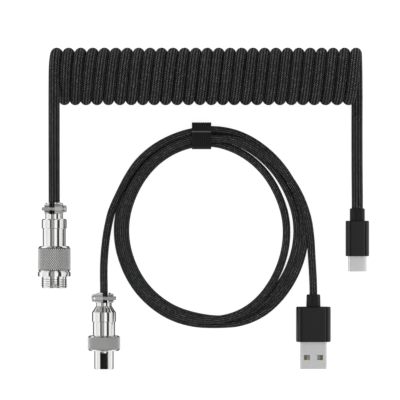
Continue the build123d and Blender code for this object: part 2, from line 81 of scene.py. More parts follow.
def settle(piece, name):
    # origin to the frame's origin, place kept in the mesh
    activate(piece)
    bpy.ops.object.transform_apply(location=True, rotation=True, scale=True)
    piece.name = name
    piece.data.name = name
    return piece


def editAll(piece):
    activate(piece)
    bpy.context.tool_settings.mesh_select_mode = (True, False, False)
    bpy.ops.object.mode_set(mode="EDIT")
    bpy.ops.mesh.select_all(action="SELECT")


def applyModifier(piece, kind, **values):
    activate(piece)
    modifier = piece.modifiers.new(kind.lower(), kind)
    for key, value in values.items():
        setattr(modifier, key, value)
    bpy.ops.object.modifier_apply(modifier=modifier.name)


def selectOnly(piece, kind, test):
    # edit mode, with exactly the "edges" or "polygons" that pass the test selected
    activate(piece)
    bpy.context.tool_settings.mesh_select_mode = (False, kind == "edges", kind == "polygons")
    mesh = piece.data
    for items in (mesh.vertices, mesh.edges, mesh.polygons):
        for item in items:
            item.select = False
    for item in getattr(mesh, kind):
        item.select = test(item)
    bpy.ops.object.mode_set(mode="EDIT")


def smoothByAngle(piece, degrees=35):
    activate(piece)
    bpy.ops.object.shade_smooth_by_angle(angle=math.radians(degrees))


def roundEdges(piece, width, segments=2, degrees=35):
    applyModifier(piece, "BEVEL", width=width, segments=segments, limit_method="ANGLE",
                  angle_limit=math.radians(degrees), use_clamp_overlap=True)


def evenNormals(piece, weight=80):
    # large flat faces stay flat beside their rounded edges
    applyModifier(piece, "WEIGHTED_NORMAL", keep_sharp=True, weight=weight)


def put(piece, body, slot, material, *replaced):
    piece.data.materials.clear()
    piece.data.materials.append(material)
    if body:
        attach(piece, body)
    if replaced:
        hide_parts(*replaced)
    return piece


def mix(a, b, share):
    return a + (b - a) * share


def inMetres(place):
    return tuple(value * mm for value in place)


def smooth(share):
    share = min(1.0, max(0.0, share))
    return share * share * (3 - 2 * share)


cameraSettings = {
    "overX": -1.6,  # what the middle of the picture looks at, mm
    "overY": 19.75,
    "pictureWidth": 181.8,  # mm of table across the picture
    "height": 1600,
    "sensor": 36,
    "nearest": 0.1,  # m
    "furthest": 20,
}


def makeCamera(values):
    data = bpy.data.cameras.new("tableCamera")
    data.sensor_width = values["sensor"]
    data.lens = values["sensor"] * values["height"] / values["pictureWidth"]
    data.clip_start = values["nearest"]
    data.clip_end = values["furthest"]
    camera = bpy.data.objects.new("tableCamera", data)
    bpy.context.scene.collection.objects.link(camera)
    camera.location = (values["overX"] * mm, values["overY"] * mm, values["height"] * mm)
    bpy.context.scene.camera = camera


makeCamera(cameraSettings)


def newGroup(name, inputs, outputs):
    group = bpy.data.node_groups.new(name, "ShaderNodeTree")
    for socketName, default in inputs:
        # a vector where no default is given, a number otherwise
        kind = "NodeSocketVector" if default is None else "NodeSocketFloat"
        socket = group.interface.new_socket(name=socketName, in_out="INPUT", socket_type=kind)
        if default is not None:
            socket.default_value = default
    for socketName in outputs:
        group.interface.new_socket(name=socketName, in_out="OUTPUT", socket_type="NodeSocketFloat")
    start = group.nodes.new("NodeGroupInput")
    end = group.nodes.new("NodeGroupOutput")
    return group, start, end


def feed(tree, node, sockets):
    # an output is linked, a colour or number is set; None leaves a number as it is
    for key, value in sockets.items():
        socket = node.inputs[key]
        if isinstance(value, bpy.types.NodeSocket):
            tree.links.new(value, socket)
        elif socket.type == "RGBA":
            socket.default_value = (*value, 1)
        elif value is not None:
            socket.default_value = value


def calc(tree, operation, a, b=None, c=None, clamp=False):
    node = tree.nodes.new("ShaderNodeMath")
    node.operation = operation
    node.use_clamp = clamp
    feed(tree, node, {0: a, 1: b, 2: c})
    return node.outputs[0]


def plus(tree, a, b):
    return calc(tree, "ADD", a, b)


def minus(tree, a, b):
    return calc(tree, "SUBTRACT", a, b)


def times(tree, a, b, clamp=False):
    return calc(tree, "MULTIPLY", a, b, clamp=clamp)


def blendColour(tree, share, first, second):
    node = tree.nodes.new("ShaderNodeMix")
    node.data_type = "RGBA"
    feed(tree, node, {0: share, 6: first, 7: second})
    return node.outputs[2]


def axesOf(tree, vector):
    split = tree.nodes.new("ShaderNodeSeparateXYZ")
    feed(tree, split, {0: vector})
    return [split.outputs[axis] for axis in "XYZ"]


# how far a yarn's edges sink, how full its middle is, and how narrow its shine
yarnShape = {"edges": 1.6, "fullness": 0.6, "shine": 6.0}


def makeBraidGroup(values):
    # herringbone of a round braid: columns run along the cord, yarns slant left and right in turn
    group, start, end = newGroup(
        "braidPattern",
        [("UV", None), ("Columns", 12.0), ("Slant", 0.9)],
        ["Height", "Shine"],
    )
    u, v = axesOf(group, start.outputs["UV"])[:2]
    around = times(group, u, start.outputs["Columns"])
    column = calc(group, "FLOOR", around)
    inside = minus(group, minus(group, around, column), 0.5)
    parity = calc(group, "MODULO", column, 2.0)
    side = minus(group, times(group, parity, 2.0), 1.0)
    lean = times(group, times(group, inside, side), start.outputs["Slant"])
    along = plus(group, plus(group, v, lean), times(group, parity, 0.5))
    phase = calc(group, "FRACT", along)
    bump = calc(group, "SINE", times(group, phase, math.pi))
    across = minus(group, 1.0, times(group, times(group, inside, inside), values["edges"]))
    yarn = times(group, calc(group, "POWER", bump, values["fullness"]), across)
    shine = calc(group, "POWER", yarn, values["shine"], clamp=True)
    feed(group, end, {"Height": yarn, "Shine": shine})
    return group


def makeGrainGroup():
    # fine moulded or plated grain from two noises, with a wear mask of its own
    group, start, end = newGroup(
        "fineGrain",
        [("Vector", None), ("Scale", 3000.0), ("Spread", 180.0)],
        ["Grain", "Cloud"],
    )
    for output, scaleName, detail in (("Grain", "Scale", 3.0), ("Cloud", "Spread", 4.0)):
        noise = group.nodes.new("ShaderNodeTexNoise")
        feed(group, noise, {"Vector": start.outputs["Vector"], "Scale": start.outputs[scaleName],
                            "Detail": detail})
        feed(group, end, {output: noise.outputs["Fac"]})
    return group


def makeBrushGroup():
    # streaks drawn out along one direction by squeezing the other two
    group, start, end = newGroup(
        "brushedStreaks",
        [("Vector", None), ("Squeeze", None)],
        ["Streaks"],
    )
    stretch = group.nodes.new("ShaderNodeVectorMath")
    stretch.operation = "MULTIPLY"
    feed(group, stretch, {0: start.outputs["Vector"], 1: start.outputs["Squeeze"]})
    noise = group.nodes.new("ShaderNodeTexNoise")
    feed(group, noise, {"Vector": stretch.outputs[0], "Scale": 1.0, "Detail": 3.0})
    feed(group, end, {"Streaks": noise.outputs["Fac"]})
    return group


def makeKnurlGroup(margin):
    # how deep between the diamonds a point lies, from its distance to the connector's axis
    group, start, end = newGroup(
        "knurlDepths",
        [("Vector", None), ("Axis", None), ("Low", 0.007), ("High", 0.0075), ("From", 0.0),
         ("To", 0.0)],
        ["Band", "Valley"],
    )
    off = group.nodes.new("ShaderNodeVectorMath")
    off.operation = "SUBTRACT"
    feed(group, off, {0: start.outputs["Vector"], 1: start.outputs["Axis"]})
    x, y, z = axesOf(group, off.outputs[0])
    out = calc(group, "SQRT", plus(group, times(group, x, x), times(group, z, z)))
    away = times(group, y, -1.0)
    low, high = start.outputs["Low"], start.outputs["High"]
    inside = times(group, calc(group, "GREATER_THAN", away, start.outputs["From"]),
                   calc(group, "LESS_THAN", away, start.outputs["To"]))
    skin = calc(group, "GREATER_THAN", out, minus(group, low, margin))
    band = times(group, inside, skin)
    share = calc(group, "DIVIDE", minus(group, high, out), minus(group, high, low), clamp=True)
    feed(group, end, {"Band": band, "Valley": times(group, share, band)})
    return group


braidGroup = makeBraidGroup(yarnShape)
knurlGroup = makeKnurlGroup(0.4 * mm)
grainGroup = makeGrainGroup()
brushGroup = makeBrushGroup()


def newMaterial(name):
    material = bpy.data.materials.new(name)
    material.use_nodes = True
    tree = material.node_tree
    return material, tree, tree.nodes["Principled BSDF"]


def useGroup(tree, group, vector, vectorName="Vector", **values):
    node = tree.nodes.new("ShaderNodeGroup")
    node.node_tree = group
    feed(tree, node, {vectorName: vector, **values})
    return node


def objectPlace(tree):
    return tree.nodes.new("ShaderNodeTexCoord").outputs["Object"]


def addBump(tree, shader, height, strength, distance):
    bump = tree.nodes.new("ShaderNodeBump")
    feed(tree, bump, {"Strength": strength, "Distance": distance, "Height": height})
    feed(tree, shader, {"Normal": bump.outputs["Normal"]})


braidValues = {
    "yarn": (0.0006, 0.0006, 0.0007),
    # pale colour on the yarn tops: a painted highlight
    "yarnHighlight": (0.36, 0.36, 0.37),
    "roughness": 0.7,
    "polish": 0.25,  # how much smoother the yarn's top is
    "columns": 12,
    "slant": 1.5,
    "grain": 1300.0,
    "highlightFleck": (5.0, -2.3),  # contrast and level of the painted highlight's unevenness
    "highlightFleckShare": 0.6,
    "specular": 0.06,
    "bump": (0.6, 0.18 * mm),
}


def makeBraid(values):
    material, tree, shader = newMaterial("blackBraid")
    uv = tree.nodes.new("ShaderNodeUVMap")
    uv.uv_map = "braidMap"
    braid = useGroup(tree, braidGroup, uv.outputs["UV"], "UV", Columns=values["columns"],
                     Slant=values["slant"])
    grain = useGroup(tree, grainGroup, objectPlace(tree), Scale=values["grain"])
    highlightFleck = calc(tree, "MULTIPLY_ADD", grain.outputs["Grain"], *values["highlightFleck"], clamp=True)
    uneven = calc(tree, "MULTIPLY_ADD", highlightFleck, values["highlightFleckShare"], 1 - values["highlightFleckShare"])
    # the yarn tops are painted pale where the shine mask peaks, a painted highlight made uneven by the
    # grain
    highlightSpeck = times(tree, braid.outputs["Shine"], uneven, clamp=True)
    rough = minus(tree, values["roughness"], times(tree, braid.outputs["Shine"], values["polish"]))
    feed(tree, shader, {
        "Base Color": blendColour(tree, highlightSpeck, values["yarn"], values["yarnHighlight"]),
        "Roughness": rough,
        "Specular IOR Level": values["specular"],
    })
    addBump(tree, shader, braid.outputs["Height"], *values["bump"])
    return material


# what the metals share; a metal's own values come on top
metalValues = {
    "colour": (0.87, 0.87, 0.86),
    "dull": (0.74, 0.74, 0.73),  # in the clouded patches
    "cloudShare": 0.6,
    "cloudSpread": 240.0,
    "metallic": 1.0,
    "roughness": 0.05,
    "streak": (900, 60, 900),
    "streakRoughness": 0.06,
    "bump": (0.12, 0.04 * mm),
    "grooveShade": (0.12, 0.12, 0.12),  # painted shade between the knurl's diamonds
    "grooveShadeEdge": 4.0,
    "matt": 0.38,
    "mattShare": 0.5,
}


def makeMetal(name, knurled=None, **own):
    values = {**metalValues, **own}
    material, tree, shader = newMaterial(name)
    place = objectPlace(tree)
    grain = useGroup(tree, grainGroup, place, Spread=values["cloudSpread"])
    brush = useGroup(tree, brushGroup, place, Squeeze=values["streak"])
    cloud = times(tree, grain.outputs["Cloud"], values["cloudShare"])
    colour = blendColour(tree, cloud, values["colour"], values["dull"])
    rough = plus(tree, values["roughness"],
                 times(tree, brush.outputs["Streaks"], values["streakRoughness"]))
    metallic = values["metallic"]
    if knurled:
        # matt diamonds, with painted shade darkening the grooves between them
        cordEnd, (first, last), outer, depth = knurled
        knurls = useGroup(tree, knurlGroup, place, Axis=inMetres(cordEnd),
                          Low=(outer - depth) * mm, High=outer * mm, From=first * mm, To=last * mm)
        # the deeper a point lies between the diamonds, the more painted shade it gets
        grooveShade = calc(tree, "POWER", knurls.outputs["Valley"], values["grooveShadeEdge"])
        colour = blendColour(tree, grooveShade, colour, values["grooveShade"])
        band = knurls.outputs["Band"]
        rough = plus(tree, rough, times(tree, band, values["matt"]))
        metallic = minus(tree, metallic, times(tree, band, values["mattShare"]))
    feed(tree, shader, {"Base Color": colour, "Metallic": metallic, "Roughness": rough})
    addBump(tree, shader, brush.outputs["Streaks"], *values["bump"])
    return material


# what the moulded plastics share; a plastic's own values come on top
plasticValues = {
    "worn": (0.008, 0.008, 0.0083),
    "wornShare": 0.35,
    "wornSpread": 150.0,
    "grainRoughness": 0.12,
    "gloss": 0.2,
    "bump": (0.15, 0.06 * mm),
}


def makePlastic(name, **own):
    values = {**plasticValues, **own}
    material, tree, shader = newMaterial(name)
    grain = useGroup(tree, grainGroup, objectPlace(tree), Scale=values["grain"],
                     Spread=values["wornSpread"])
    share = times(tree, grain.outputs["Cloud"], values["wornShare"])
    rough = plus(tree, values["roughness"],
                 times(tree, grain.outputs["Grain"], values["grainRoughness"]))
    feed(tree, shader, {
        "Base Color": blendColour(tree, share, values["colour"], values["worn"]),
        "Roughness": rough,
        "Specular IOR Level": values["gloss"],
    })
    addBump(tree, shader, grain.outputs["Grain"], *values["bump"])
    return material


webbingValues = {
    # the colour between the ribs is painted shade
    "valley": (0.002, 0.002, 0.0022),
    "rib": (0.02, 0.02, 0.021),
    "tipHighlight": (0.2, 0.2, 0.2),  # painted highlight along the cut edge across the overlap's tip
    "cutY": (0.0502, 0.0509),
    "above": 0.0086,
    "middleX": -0.0009,
    "ribPitch": 0.0088 / 9,
    "weft": 0.7 * mm,
    "weftShare": 0.3,
    "grain": 3500.0,
    "ribFuzz": (1.2, 0.2),  # contrast and level of the grain on the ribs
    "tipHighlightFuzz": (0.8, 0.35),
    "roughness": 0.6,
    "specular": 0.25,
    "sheen": 0.03,
    "bump": (0.7, 0.1 * mm),
}


def makeWebbing(values):
    # woven nylon with a fine plain weave: painted shade darkens it between its ribs, and a painted
    # highlight makes its cut edge pale
    material, tree, shader = newMaterial("strapNylon")
    place = objectPlace(tree)
    x, y, z = axesOf(tree, place)
    across = calc(tree, "DIVIDE", minus(tree, x, values["middleX"]), values["ribPitch"])
    crest = calc(tree, "ABSOLUTE", calc(tree, "COSINE", times(tree, across, math.pi)))
    along = plus(tree, y, z)
    weft = calc(tree, "SINE", times(tree, along, 2 * math.pi / values["weft"]))
    grain = useGroup(tree, grainGroup, place, Scale=values["grain"]).outputs["Grain"]
    height = plus(tree, times(tree, weft, values["weftShare"]), grain)
    share = times(tree, calc(tree, "POWER", crest, 2.0),
                  calc(tree, "MULTIPLY_ADD", grain, *values["ribFuzz"]), clamp=True)
    # the ribs' crests take the rib colour and the hollows between them take painted shade
    ribsWithShade = blendColour(tree, share, values["valley"], values["rib"])
    low, high = values["cutY"]
    atTip = calc(tree, "COMPARE", y, (low + high) / 2, (high - low) / 2)
    onTop = calc(tree, "GREATER_THAN", z, values["above"])
    # a painted highlight on the top layer's cut edge at the overlap's tip
    pale = times(tree, times(tree, atTip, onTop),
                 calc(tree, "MULTIPLY_ADD", grain, *values["tipHighlightFuzz"]), clamp=True)
    feed(tree, shader, {
        "Base Color": blendColour(tree, pale, ribsWithShade, values["tipHighlight"]),
        "Roughness": values["roughness"],
        "Specular IOR Level": values["specular"],
        "Sheen Weight": values["sheen"],
    })
    addBump(tree, shader, height, *values["bump"])
    return material


blackBraid = makeBraid(braidValues)
brightNickel = makeMetal("brightNickel")
plugSteel = makeMetal("plugSteel", colour=(0.95, 0.95, 0.95), dull=(0.88, 0.88, 0.88), metallic=0.55,
                      roughness=0.12, streak=(2200, 120, 2200), bump=(0.03, 0.04 * mm))
castNickel = makeMetal("castNickel", colour=(0.93, 0.93, 0.92), dull=(0.85, 0.85, 0.84), metallic=0.7,
                       roughness=0.1)
# the gold is darkened: painted shade of the shell's windows that the contacts sit in
goldContact = makeMetal("goldContact", colour=(0.3, 0.22, 0.1), dull=(0.255, 0.187, 0.085),
                        roughness=0.3, bump=(0.1, 0.04 * mm))
satinPlastic = makePlastic("satinPlastic", colour=(0.0015, 0.0015, 0.0017), roughness=0.16,
                           grain=2600.0, gloss=0.5, worn=(0.005, 0.005, 0.0052))
softPlastic = makePlastic("softPlastic", colour=(0.004, 0.004, 0.0043), roughness=0.38,
                          grain=2200.0, gloss=0.32)
blackInsulator = makePlastic("blackInsulator", colour=(0.006, 0.006, 0.006), roughness=0.4,
                             grain=2400.0)
whiteInsulator = makePlastic("whiteInsulator", colour=(0.75, 0.75, 0.72), roughness=0.4,
                             grain=2400.0, gloss=0.5, worn=(0.68, 0.67, 0.62))
boardGreen = makePlastic("boardGreen", colour=(0.02, 0.16, 0.06), roughness=0.3, grain=1500.0,
                         gloss=0.5, worn=(0.03, 0.2, 0.08))
wireRed = makePlastic("wireRed", colour=(0.35, 0.03, 0.02), roughness=0.35, grain=1800.0,
                      gloss=0.5, worn=(0.4, 0.05, 0.04))
strapNylon = makeWebbing(webbingValues)
print("materials ready")


coilValues = {
    "startX": -66.95,
    "axisY": 75.45,
    "axisZ": 13.0,
    "radius": 10.4,
    "pitch": 5.155,
    "turns": 26.5,
    "pointsPerTurn": 16,
    "lean": 0.4,  # mm that the front strands lean on top of the pitch
    "leanAtStart": -0.5,
    "leanTurns": 4,
}
socketEnd = (-67.55, 18.55, 7.5)  # where each cord enters its round connector
plugEnd = (-45.05, -22.2, 7.45)
deviceCordValues = {"diameter": 5.2, "ring": 0.45, "sides": 24, "relief": 0.05, "length": 1.87}
hostCordValues = {"diameter": 3.6, "ring": 0.42, "sides": 20, "relief": 0.05, "length": 0.97}

deviceLead = [
    (-67.55, 13.2, 7.5),
    (-67.55, 22.6, 7.5),
    (-67.5, 31.8, 9.8),
    (-67.33, 40.8, 14.3),
    (-67.14, 49.6, 19.2),
    (-67.0, 57.4, 22.6),
    (-66.95, 64.8, 23.4),
]
deviceTail = [
    (69.66, 64.6, 2.6),
    (69.62, 56.5, 2.6),
    (69.62, 46.5, 2.6),
    (69.65, 36.5, 2.65),
    (69.7, 27.0, 2.9),
    (69.75, 19.3, 3.2),
    (69.75, 12.0, 3.2),
]
hostPlugTail = [
    (-41.2, 16.5, 1.8),
    (-42.8, 10.5, 1.8),
    (-44.0, 4.3, 1.8),
    (-44.75, -2.0, 2.3),
    (-45.15, -8.2, 4.3),
    (-45.2, -14.0, 6.5),
    (-45.05, -19.6, 7.45),
    (-45.05, -25.1, 7.45),
]
hostUsbTail = [
    (49.8, -25.4, 4.0),
    (49.8, -20.7, 4.0),
    (49.65, -15.6, 3.45),
    (49.35, -10.0, 2.3),
    (49.0, -4.2, 1.8),
    (48.75, 1.8, 1.8),
]


def coilPoints(values):
    # control points stand outside the turns, so that the smooth curve has the turns' own radius
    points = []
    step = 2 * math.pi / values["pointsPerTurn"]
    out = values["radius"] / math.cos(step / 2)
    for index in range(int(values["turns"] * values["pointsPerTurn"])):
        angle = (index + 0.5) * step
        turns = angle / (2 * math.pi)
        lean = mix(values["leanAtStart"], values["lean"], smooth(turns / values["leanTurns"]))
        points.append((
            values["startX"] + values["pitch"] * turns + lean * math.sin(angle),
            values["axisY"] + out * math.sin(angle),
            values["axisZ"] + out * math.cos(angle),
        ))
    return points


loopValues = {
    "centre": (0.9, 6.05),
    "lane0": (36.4, 39.9),  # half axes of the innermost turn's centreline
    "lanePitch": 3.54,
    "gap": 1.35,  # opening between the innermost turn and the next, at the right
    "gapSpread": 65,
    "floor": 1.8,
    "strapLift": 0.9,
    "strapAngle": 91,
    "strapSpread": 24,
    "pointsPerTurn": 24,
}
# (angle from the start, lane), smooth in between; the first turn lies over the others
laneKeys = [
    (0, 2.5), (15, 2.2), (60, 1.3), (84, 0.6), (118, 0.5), (296, 0.5), (335, 0.1), (360, 0.0),
    (360 + 255, 0.0), (360 + 303, 1.0), (720 + 272, 1.0), (720 + 308, 2.0),
    (1080 + 62, 2.0), (1080 + 105, 1.45), (1080 + 135, 1.6), (1080 + 156, 1.85),
]
lastTurn = {"from": 1080, "drawnIn": 62, "over": 40}  # drawn in under the strap, on top
# the hand-wound turns are no true ellipse: mm to add at every 30 degrees from +X
wobble = [0.45, -0.45, -0.55, -0.2, -0.45, -0.55, 0.05, -0.45, -0.85, -0.95, -0.15, 0.2]


def laneAt(angle):
    for (a0, lane0), (a1, lane1) in zip(laneKeys, laneKeys[1:]):
        if a0 <= angle <= a1:
            return mix(lane0, lane1, smooth((angle - a0) / (a1 - a0)))
    return laneKeys[-1][1]


def outOf(angle, values):
    # mm from the innermost turn's ellipse, with the opening beside that turn at the right
    lane = laneAt(angle)
    turn = angle % 360
    away = min(turn, 360 - turn) / values["gapSpread"]
    return lane * values["lanePitch"] + values["gap"] * (1 - smooth(away)) * smooth(lane)


def riseOver(out, others):
    # how high a cord is pushed by round cords at (mm out, their own rise)
    cord = hostCordValues["diameter"]
    high = 0
    for other, rise in others:
        aside = abs(out - other)
        if aside < cord:
            high = max(high, rise + math.sqrt(cord ** 2 - aside ** 2))
    return high


def loopPoint(angle, values, spread):
    turn = angle % 360
    out = outOf(angle, values)
    under = [(outOf(turn + 360, values), 0), (outOf(turn + 720, values), 0)]
    last = lastTurn["from"] + turn
    lastRise = 0
    if turn > lastTurn["drawnIn"]:
        share = smooth((turn - lastTurn["drawnIn"]) / lastTurn["over"])
        lastRise = share * riseOver(outOf(last, values), under)
    rise = 0
    if angle >= lastTurn["from"]:
        rise = lastRise
    elif angle < 360:
        if last < laneKeys[-1][0]:
            under.append((outOf(last, values), 0))
        rise = riseOver(out, under)
    lift = values["strapLift"] * (1 - smooth(abs(turn - values["strapAngle"]) / values["strapSpread"]))
    sector, share = divmod(turn / 30, 1)
    off = mix(wobble[int(sector) % 12], wobble[(int(sector) + 1) % 12], smooth(share))
    rx = (values["lane0"][0] + out + off) * spread
    ry = (values["lane0"][1] + out + off) * spread
    turnAngle = math.radians(turn)
    return (values["centre"][0] + rx * math.cos(turnAngle),
            values["centre"][1] + ry * math.sin(turnAngle), values["floor"] + lift + rise)


def loopPoints(values):
    step = 360 / values["pointsPerTurn"]
    spread = 1 / math.cos(math.radians(step / 2))
    count = int(laneKeys[-1][0] / step)
    return [loopPoint((index + 0.5) * step, values, spread) for index in range(count)]


def smoothLine(name, points):
    # the cord's own line: one open spline through the route's control points
    curve = bpy.data.curves.new(name, "CURVE")
    curve.dimensions = "3D"
    spline = curve.splines.new("NURBS")
    spline.points.add(len(points) - 1)
    for place, target in zip(points, spline.points):
        target.co = (*inMetres(place), 1)
    spline.order_u = 3
    spline.use_endpoint_u = True
    spline.resolution_u = 12
    holder = bpy.data.objects.new(name, curve)
    bpy.context.scene.collection.objects.link(holder)
    bpy.context.view_layer.update()
    mesh = bpy.data.meshes.new_from_object(holder)
    line = np.array([vertex.co[:] for vertex in mesh.vertices])
    bpy.data.objects.remove(holder)
    bpy.data.meshes.remove(mesh)
    bpy.data.curves.remove(curve)
    return line


def evenly(line, step):
    lengths = np.concatenate([[0], np.cumsum(np.linalg.norm(np.diff(line, axis=0), axis=1))])
    count = int(round(lengths[-1] / step))
    at = np.linspace(0, lengths[-1], count + 1)
    return np.stack([np.interp(at, lengths, line[:, i]) for i in range(3)], axis=1), lengths[-1]


def ringFrames(centres):
    # one upright pair of directions per ring, carried along without twisting
    tangents = np.gradient(centres, axis=0)
    tangents /= np.linalg.norm(tangents, axis=1)[:, None]
    side = np.cross(tangents[0], (0, 0, 1))
    if np.linalg.norm(side) < 1e-3:
        side = np.cross(tangents[0], (1, 0, 0))
    sides = []
    for tangent in tangents:
        side = side - tangent * side.dot(tangent)
        side = side / np.linalg.norm(side)
        sides.append(side)
    sides = np.array(sides)
    return sides, np.cross(tangents, sides)


ringsPerYarn = 2


def braidedTube(name, line, values):
    # rings along the line, with every other point raised so that the braid shows in the mesh
    centres, length = evenly(line, values["ring"] * mm)
    sides, ups = ringFrames(centres)
    count, around = len(centres), values["sides"]
    angles = np.arange(around) * 2 * math.pi / around
    radius = values["diameter"] / 2 * mm
    checker = (np.arange(count)[:, None] + np.arange(around)[None, :]) % 2
    radii = radius * (1 - values["relief"] * checker)
    spokes = (sides[:, None, :] * np.cos(angles)[None, :, None]
              + ups[:, None, :] * np.sin(angles)[None, :, None])
    skin = centres[:, None, :] + spokes * radii[:, :, None]
    ends = np.stack([centres[0], centres[-1]])
    points = np.concatenate([skin.reshape(-1, 3), ends])
    rows, columns = np.meshgrid(np.arange(count - 1), np.arange(around), indexing="ij")
    following = (columns + 1) % around
    quads = np.stack([rows * around + columns, rows * around + following,
                      (rows + 1) * around + following, (rows + 1) * around + columns], axis=-1)
    quads = quads.reshape(-1, 4).tolist()
    first, last = count * around, count * around + 1
    top = (count - 1) * around
    caps = [(first, (i + 1) % around, i) for i in range(around)]
    caps += [(last, top + i, top + (i + 1) % around) for i in range(around)]
    mesh = bpy.data.meshes.new(name)
    mesh.from_pydata(points.tolist(), [], quads + caps)
    layer = mesh.uv_layers.new(name="braidMap")
    u0 = columns / around
    u1 = (columns + 1) / around
    v0 = rows / ringsPerYarn
    v1 = (rows + 1) / ringsPerYarn
    corners = ((u0, v0), (u1, v0), (u1, v1), (u0, v1))
    uv = np.stack([np.stack(corner, -1) for corner in corners], axis=2).reshape(-1, 2)
    flat = np.zeros((len(mesh.loops), 2), np.float32)
    flat[:len(uv)] = uv
    layer.data.foreach_set("uv", flat.ravel())
    mesh.update()
    piece = bpy.data.objects.new(name, mesh)
    bpy.context.scene.collection.objects.link(piece)
    mesh.polygons.foreach_set("use_smooth", np.ones(len(mesh.polygons), bool))
    print(name, "line", round(length, 3), "m, rings", count)
    return piece, centres, points


def makeDeviceCord():
    line = smoothLine("deviceCordLine", deviceLead + coilPoints(coilValues) + deviceTail)
    piece, centres, points = braidedTube("deviceCord", line, deviceCordValues)
    around = deviceCordValues["sides"]
    # every ring is drawn in to its centre while the transform is baked into the mesh, then set back
    onLine = np.concatenate([np.repeat(centres, around, axis=0), centres[:1], centres[-1:]])
    piece.data.vertices.foreach_set("co", onLine.astype(np.float32).ravel())
    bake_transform(piece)
    piece.data.vertices.foreach_set("co", points.astype(np.float32).ravel())
    piece.data.update()
    put(piece, None, "black_braid", blackBraid)
    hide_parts("device_cord_lead", "coiled_cord", "device_cord_tail")


def makeHostCord():
    route = hostUsbTail + loopPoints(loopValues) + hostPlugTail
    line = smoothLine("hostCordLine", route)
    piece, centres = braidedTube("hostCord", line, hostCordValues)[:2]
    put(piece, "host_cable", "black_braid", blackBraid,
        "host_cord_plug_tail", "host_cord_loop", "host_cord_usb_tail")


makeDeviceCord()
makeHostCord()
print("cords laid")


def turnMetal(name, cordEnd, stations, sides):
    # a ring drawn out towards -Y from station to station (distance, radius) and closed on itself
    deselectAll()
    x, y, z = inMetres(cordEnd)
    bpy.ops.mesh.primitive_circle_add(vertices=sides, radius=stations[0][1] * mm,
                                      location=(x, y - stations[0][0] * mm, z),
                                      rotation=(math.pi / 2, 0, 0))
    piece = bpy.context.object
    editAll(piece)
    for (d0, r0), (d1, r1) in zip(stations, stations[1:] + stations[:1]):
        bpy.ops.mesh.extrude_region_move(TRANSFORM_OT_translate={"value": (0, (d0 - d1) * mm, 0)})
        bpy.ops.transform.resize(value=(r1 / r0, 1, r1 / r0), center_override=(x, y - d1 * mm, z))
    bpy.ops.mesh.select_all(action="SELECT")
    bpy.ops.mesh.remove_doubles(threshold=1e-6)
    bpy.ops.mesh.normals_make_consistent(inside=False)
    return settle(piece, name)


def rows(start, end, radius, count):
    return [(mix(start, end, index / count), radius) for index in range(count + 1)]


def knurl(piece, inBand, depth):
    # poke the band's squares, drop their old edges so that diamonds are left, raise each middle
    selectOnly(piece, "polygons", inBand)
    before = len(piece.data.vertices)
    bpy.ops.mesh.poke(center_mode="MEDIAN")
    activate(piece)
    touching = {}
    for face in piece.data.polygons:
        fresh = max(face.vertices) >= before
        for key in face.edge_keys:
            touching.setdefault(key, []).append(fresh)

    def between(edge):
        return max(edge.vertices) < before and touching.get(edge.key) == [True, True]

    selectOnly(piece, "edges", between)
    bpy.ops.mesh.dissolve_edges(use_verts=False, use_face_split=False)
    selectOnly(piece, "polygons", lambda face: sum(index >= before for index in face.vertices) == 2)
    bpy.ops.mesh.poke(offset=depth * mm, use_relative_offset=False, center_mode="MEDIAN")
    bpy.ops.object.mode_set(mode="OBJECT")


# mm by which a knurled band's faces stay inside its ends, and may lie under its radius
bandMargin = {"along": 0.05, "across": 0.3}


def bandOf(cordEnd, start, end, low):
    # faces between two distances from the cord end whose middle lies outside a radius
    def test(face):
        distance = cordEnd[1] - face.center.y / mm
        out = math.hypot(face.center.x / mm - cordEnd[0], face.center.z / mm - cordEnd[2])
        within = start + bandMargin["along"] < distance < end - bandMargin["along"]
        return within and out > low - bandMargin["across"]
    return test


def sweptRidge(name, axis, centre, out, values, direction, turned=0.0):
    # a small triangle set off an axis, swept round it along a helix, its two ends filled
    deselectAll()
    bpy.ops.mesh.primitive_circle_add(vertices=3, radius=values["ridge"] * mm,
                                      location=inMetres(centre))
    ridge = bpy.context.object
    editAll(ridge)
    bpy.ops.transform.rotate(value=turned, orient_axis="Z", center_override=inMetres(centre))
    bpy.ops.transform.translate(value=inMetres(out))
    turns = values["turns"]
    steps = int(values["steps"] * turns)
    applyModifier(ridge, "SCREW", axis=axis, angle=2 * math.pi * turns,
                  screw_offset=direction * values["pitch"] * turns * mm,
                  steps=steps, render_steps=steps)
    editAll(ridge)
    bpy.ops.mesh.fill_holes(sides=3)
    bpy.ops.mesh.normals_make_consistent(inside=False)
    return settle(ridge, name)


def cutBox(piece, centre, size):
    # takes a box out of a piece
    deselectAll()
    bpy.ops.mesh.primitive_cube_add(size=1, location=inMetres(centre))
    cutter = bpy.context.object
    cutter.scale = inMetres(size)
    settle(cutter, "cutter")
    applyModifier(piece, "BOOLEAN", operation="DIFFERENCE", object=cutter, solver="EXACT")
    bpy.data.objects.remove(cutter)


def joinTo(piece, *others):
    deselectAll()
    for other in others:
        other.select_set(True)
    piece.select_set(True)
    bpy.context.view_layer.objects.active = piece
    bpy.ops.object.join()


